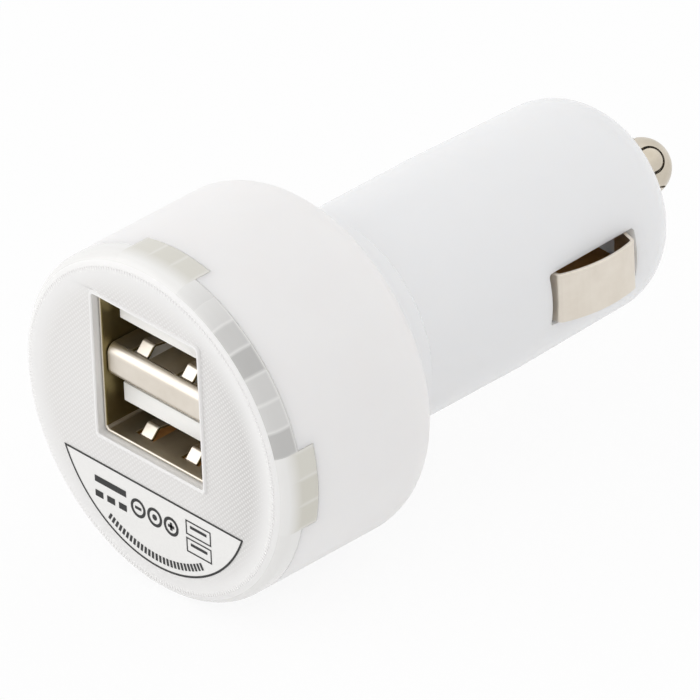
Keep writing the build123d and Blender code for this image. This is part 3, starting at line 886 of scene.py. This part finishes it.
WIRE_RADIUS = 0.18 * MM
winding_low, winding_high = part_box("inductor_winding")
winding_height = winding_high.z - winding_low.z
winding_middle = (winding_low + winding_high) / 2
turn_count = int(winding_height / (2 * WIRE_RADIUS))
winding = bake("inductor_turns", stack_of_turns(), {
    "Count": turn_count,
    "Radius": winding_high.x - WIRE_RADIUS,
    "Wire": WIRE_RADIUS,
    "Step": (0, 0, (winding_height - 2 * WIRE_RADIUS) / (turn_count - 1)),
    "Place": (winding_middle.x, winding_middle.y, winding_low.z + WIRE_RADIUS),
    "Finish": finishes["copper_wire"],
})
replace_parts(winding, "inductor_winding")

# %% [markdown]
# ## Printed label
#
# The lower part of the face carries a white half-moon label with a thin black outline. Inside it are
# plain signs that any such plug could have: direct current, polarity, two ports, and a scale of dashes
# along the round edge. A picture of the label would blur up close. Ink has no thickness to speak of, so
# the signs are flat faces that lie just off the label.

# %% Outlines for the print
LABEL_RADIUS = 12.2 * MM
LABEL_MIDDLE = -1.7 * MM
LABEL_TOP = -6.1 * MM
LABEL_STEPS = 96
CIRCLE_POINTS = 32
DOWN = 1.5 * math.pi


def half_moon(inset):
    """Outline (x, z) of the label, moved inwards."""
    radius = LABEL_RADIUS - inset
    half = math.acos((LABEL_MIDDLE - LABEL_TOP + inset) / radius)
    turns = [DOWN - half + 2 * half * i / LABEL_STEPS for i in range(LABEL_STEPS + 1)]
    return [(radius * math.cos(turn), LABEL_MIDDLE + radius * math.sin(turn)) for turn in turns]


def box_outline(x, z, width, height):
    """Corners (x, z) of a box about a middle."""
    w, h = width / 2, height / 2
    return [(x - w, z - h), (x + w, z - h), (x + w, z + h), (x - w, z + h)]


def round_outline(x, z, radius):
    """Points (x, z) of a circle about a middle."""
    turns = [2 * math.pi * i / CIRCLE_POINTS for i in range(CIRCLE_POINTS)]
    return [(x + radius * math.cos(turn), z + radius * math.sin(turn)) for turn in turns]


print("label:", 2 * half_moon(0)[-1][0], "wide at its top")

# %% Draw the label
INK_LIFT = 0.02 * MM
LABEL_Y = FACE_Y - INK_LIFT
PRINT_Y = LABEL_Y - INK_LIFT
LABEL_LINE = 0.2 * MM
STROKE = 0.3 * MM
SIGN_Z = -8.8 * MM
SIGN_STEP = 5.6 * MM
BAR_HEIGHT = 0.65 * MM
BAR_STEP = 1.5 * MM
LONG_BAR, SHORT_BAR = 4.0 * MM, 1.0 * MM
RING_STEP = 2.1 * MM
RING_RADIUS = 0.95 * MM
SIGN_ARM = 0.8 * MM
PORT_STEP = 0.9 * MM
PORT_WIDTH, PORT_HEIGHT = 3.2 * MM, 1.5 * MM
TONGUE_WIDTH, TONGUE_RISE = 2.1 * MM, 0.15 * MM
INK, PAPER = range(2)


def ink_area(mesh, outline, y=PRINT_Y):
    """Filled area of ink."""
    return mesh.faces.new([mesh.verts.new((x, y, z)) for x, z in outline])


def ink_line(mesh, outer, inner):
    """Line of ink between two outlines with the same number of points."""
    for i in range(len(outer)):
        j = (i + 1) % len(outer)
        ink_area(mesh, (outer[i], outer[j], inner[j], inner[i])).material_index = INK


mesh = bmesh.new()
ink_area(mesh, half_moon(0), LABEL_Y).material_index = PAPER
ink_line(mesh, half_moon(0), half_moon(LABEL_LINE))

# Direct current: a long bar over three short ones
ink_area(mesh, box_outline(-SIGN_STEP, SIGN_Z + BAR_STEP / 2, LONG_BAR, BAR_HEIGHT))
for step in (-1, 0, 1):
    ink_area(mesh, box_outline(-SIGN_STEP + step * BAR_STEP, SIGN_Z - BAR_STEP / 2, SHORT_BAR, BAR_HEIGHT))

# Polarity: the tip is plus, the sides are minus
for x in (-RING_STEP, 0, RING_STEP):
    ink_line(mesh, *[round_outline(x, SIGN_Z, RING_RADIUS - trim) for trim in (0, STROKE)])
    ink_area(mesh, box_outline(x, SIGN_Z, SIGN_ARM, STROKE) if x else round_outline(x, SIGN_Z, STROKE))
ink_area(mesh, box_outline(RING_STEP, SIGN_Z, STROKE, SIGN_ARM))

# Two ports, one over the other
for z in (SIGN_Z + PORT_STEP, SIGN_Z - PORT_STEP):
    ink_line(mesh, *[
        box_outline(SIGN_STEP, z, PORT_WIDTH - trim, PORT_HEIGHT - trim) for trim in (0, STROKE)
    ])
    ink_area(mesh, box_outline(SIGN_STEP, z + TONGUE_RISE, TONGUE_WIDTH, STROKE))
label_data = mesh_data("label", mesh, print_ink, label_white)
finish_piece("label_print", label_data, "plug")
print("label:", len(label_data.polygons), "patches of ink")

# %% [markdown]
# The round edge of the label has a scale of short dashes. They are blocks round a circle once more, thin
# as ink.

# %% Dashes along the label's edge
DASH_COUNT = 27
DASH_STEP = math.radians(2.4)
DASH_INSET = 1.0 * MM
DASH_LENGTH = 0.7 * MM
DASH_WIDTH = 0.28 * MM
INK_THICKNESS = 0.01 * MM
bake("label_dashes", ring, {
    "Count": DASH_COUNT,
    "Radius": LABEL_RADIUS - DASH_INSET,
    "Start": DOWN - DASH_STEP * (DASH_COUNT - 1) / 2,
    "Step": DASH_STEP,
    "Size": (DASH_LENGTH, DASH_WIDTH, INK_THICKNESS),
    "Place": (0, PRINT_Y, LABEL_MIDDLE),
    "Finish": print_ink,
})

# %% [markdown]
# ## Softer edges
#
# No stamped or moulded edge is perfectly sharp, and the light that it catches is what makes a piece
# look real. Modelling these pieces again would be one way. A bevelled copy is less work and stays true
# to the CAD model. A CAD node's mesh is loose triangles, so the copy is merged before it is bevelled.

# %% Bevel copies of the visible nodes
MERGE_DISTANCE = 0.0005 * MM
BEVEL_ANGLE = math.radians(40)


def merged_copy(node):
    """Copy of a CAD node with its loose triangles joined, which takes its place."""
    mesh = bmesh.new()
    mesh.from_mesh(nodes[node].data)
    bmesh.ops.remove_doubles(mesh, verts=mesh.verts, dist=MERGE_DISTANCE)
    data = bpy.data.meshes.new(node + "_soft")
    mesh.to_mesh(data)
    mesh.free()
    data.materials.append(finishes[slot_of[node]])
    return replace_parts(finish_piece(node + "_soft", data, body_of[node]), node)


def soften(node, width):
    """Merged and bevelled copy of a CAD node."""
    piece = merged_copy(node)
    bevel = piece.modifiers.new("edge", "BEVEL")
    bevel.width = width
    bevel.segments = 3
    bevel.limit_method = "ANGLE"
    bevel.angle_limit = BEVEL_ANGLE
    bevel.use_clamp_overlap = False
    bevel.harden_normals = True
    return piece


edge_widths = {
    "left_side_contact": 0.06 * MM,
    "right_side_contact": 0.06 * MM,
    "usb_insulator": 0.12 * MM,
    "usb_shell": 0.13 * MM,
    "usb_middle_shield": 0.13 * MM,
}
soft = {node: soften(node, width) for node, width in edge_widths.items()}
print("softened", ", ".join(soft))

# %% [markdown]
# Folds and fingers of the socket's sheet keep the bright nickel. Its flat walls get painted shade: the
# sides brown, the floors a little lighter, and that makes the ports look deep. A face's normal tells
# which it is, so nothing has to be picked by hand.

# %% Painted shade on the walls inside the ports
X, Z = 0, 2
FLAT = 0.99
for node in ("usb_shell", "usb_middle_shield"):
    data = soft[node].data
    # Faces flat across X get the brown painted shade, faces flat across Z the lighter painted shade
    for axis, finish in ((X, wall_painted_shade_nickel), (Z, floor_painted_shade_nickel)):
        data.materials.append(finish)
        painted_shade_faces = [face for face in data.polygons if abs(face.normal[axis]) > FLAT]
        for face in painted_shade_faces:
            face.material_index = len(data.materials) - 1
        print(node, "has", len(painted_shade_faces), "faces in", finish.name)

# %% [markdown]
# ## Tip spring
#
# The coil behind the tip gets shorter when the tip is pressed, and a rigid coil would cut through the tip.
# Here it is a merged copy with a mesh of its own.

# %% Copy the spring
coil = merged_copy("tip_spring")
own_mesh(coil)

# %% [markdown]
# ## Studio
#
# A white table under broad, soft light. To the camera, mirrors and clear plastic the table and the
# room are plain white. More light would bleach the plug as well, so only what these rays see is made
# whiter. The rest of the light treats table and room as what they are, and a soft shadow stays.

# %% Table and room
TABLE_HALF = 3.0
TABLE_DROP = 0.05 * MM
TABLE_SHARE = 0.9
ROOM_STRENGTH = 0.79
WHITE = (1, 1, 1, 1)


def seen_white(tree, lit, share, glow):
    """Mixes white into a shader, by a share, for rays from the camera, mirrors and glass."""
    path = add(tree, "ShaderNodeLightPath").outputs
    seen = path["Is Camera Ray"]
    for kind in ("Is Glossy Ray", "Is Transmission Ray"):
        seen = add(tree, "ShaderNodeMath", {0: seen, 1: path[kind]}, operation="MAXIMUM").outputs[0]
    factor = add(tree, "ShaderNodeMath", {0: seen, 1: share}, operation="MULTIPLY").outputs[0]
    white = add(tree, glow, {"Color": WHITE, "Strength": 1.0}).outputs[0]
    return add(tree, "ShaderNodeMixShader", {0: factor, 1: lit, 2: white}).outputs[0]


mesh = bmesh.new()
bmesh.ops.create_grid(mesh, x_segments=1, y_segments=1, size=TABLE_HALF)
# Matt white card
table_white, tree, shader, _ = start_material("table_white", "f8f8f8", Roughness=0.9)
table_look = seen_white(tree, shader.outputs[0], TABLE_SHARE, "ShaderNodeEmission")
wire(tree, tree.nodes["Material Output"], {"Surface": table_look})
table = bpy.data.objects.new("table", mesh_data("table", mesh, table_white))
table.location.z = cad_box[0][2] - TABLE_DROP
bpy.context.collection.objects.link(table)

world = bpy.data.worlds.new("room")
world.use_nodes = True
tree = world.node_tree
room = tree.nodes["Background"]
wire(tree, room, {"Color": WHITE, "Strength": ROOM_STRENGTH})
room_look = seen_white(tree, room.outputs[0], 1.0, "ShaderNodeBackground")
wire(tree, tree.nodes["World Output"], {"Surface": room_look})
bpy.context.scene.world = world
print("table at", table.location.z, "under a room of strength", ROOM_STRENGTH)


# %% [markdown]
# ## Lamps
#
# White plastic on a white page is told apart by small steps of grey alone. A broad lamp above and
# behind gives the barrel its bright top, and one at the front left lifts the face and the ports. Both
# are large and weak, so no highlight clips and every shadow has a soft edge.

# %% Lamps
def soft_lamp(name, place, size, power):
    """Square area lamp that faces the plug."""
    data = bpy.data.lights.new(name, "AREA")
    data.size = size
    data.energy = power
    lamp = bpy.data.objects.new(name, data)
    lamp.location = place
    lamp.rotation_euler = (-Vector(place)).to_track_quat("-Z", "Y").to_euler()
    bpy.context.collection.objects.link(lamp)


soft_lamp("overhead", place=(0.12, 0.20, 0.55), size=0.8, power=0.5)
soft_lamp("front_left", place=(-0.42, -0.50, 0.12), size=0.9, power=2.3)
print("lamps:", ", ".join(lamp.name for lamp in bpy.data.lights))

# %% [markdown]
# ## Camera
#
# The photograph looks down on the plug from the front right with a long lens, so the camera stands
# far off. Its angles and its small roll come from fitting the plug's outline to the photograph. On a
# plain white page nothing tells whether the plug or the camera was turned. The frame stays put, so the
# camera takes all of the turn.

# %% Set the camera
AZIMUTH, ELEVATION, ROLL = (math.radians(angle) for angle in (48.09, 32.55, -2.56))
DISTANCE = 1.5
AIM = Vector((2.21, 1.81, -0.68)) * MM
FOCAL_LENGTH = 889.06
lens = bpy.data.cameras.new("camera")
lens.sensor_width = 36.0
lens.lens = FOCAL_LENGTH
lens.clip_end = 20.0
camera = bpy.data.objects.new("camera", lens)
away = Vector((
    math.sin(AZIMUTH) * math.cos(ELEVATION), -math.cos(AZIMUTH) * math.cos(ELEVATION), math.sin(ELEVATION)
))
camera.location = AIM + away * DISTANCE
tilt = Euler((math.pi / 2 - ELEVATION, 0, AZIMUTH)).to_matrix().to_4x4()
camera.rotation_euler = (tilt @ Matrix.Rotation(ROLL, 4, "Z")).to_euler()
bpy.context.collection.objects.link(camera)
bpy.context.scene.camera = camera
bpy.context.scene.view_settings.view_transform = "Standard"
print("camera at", [round(value, 3) for value in camera.location])
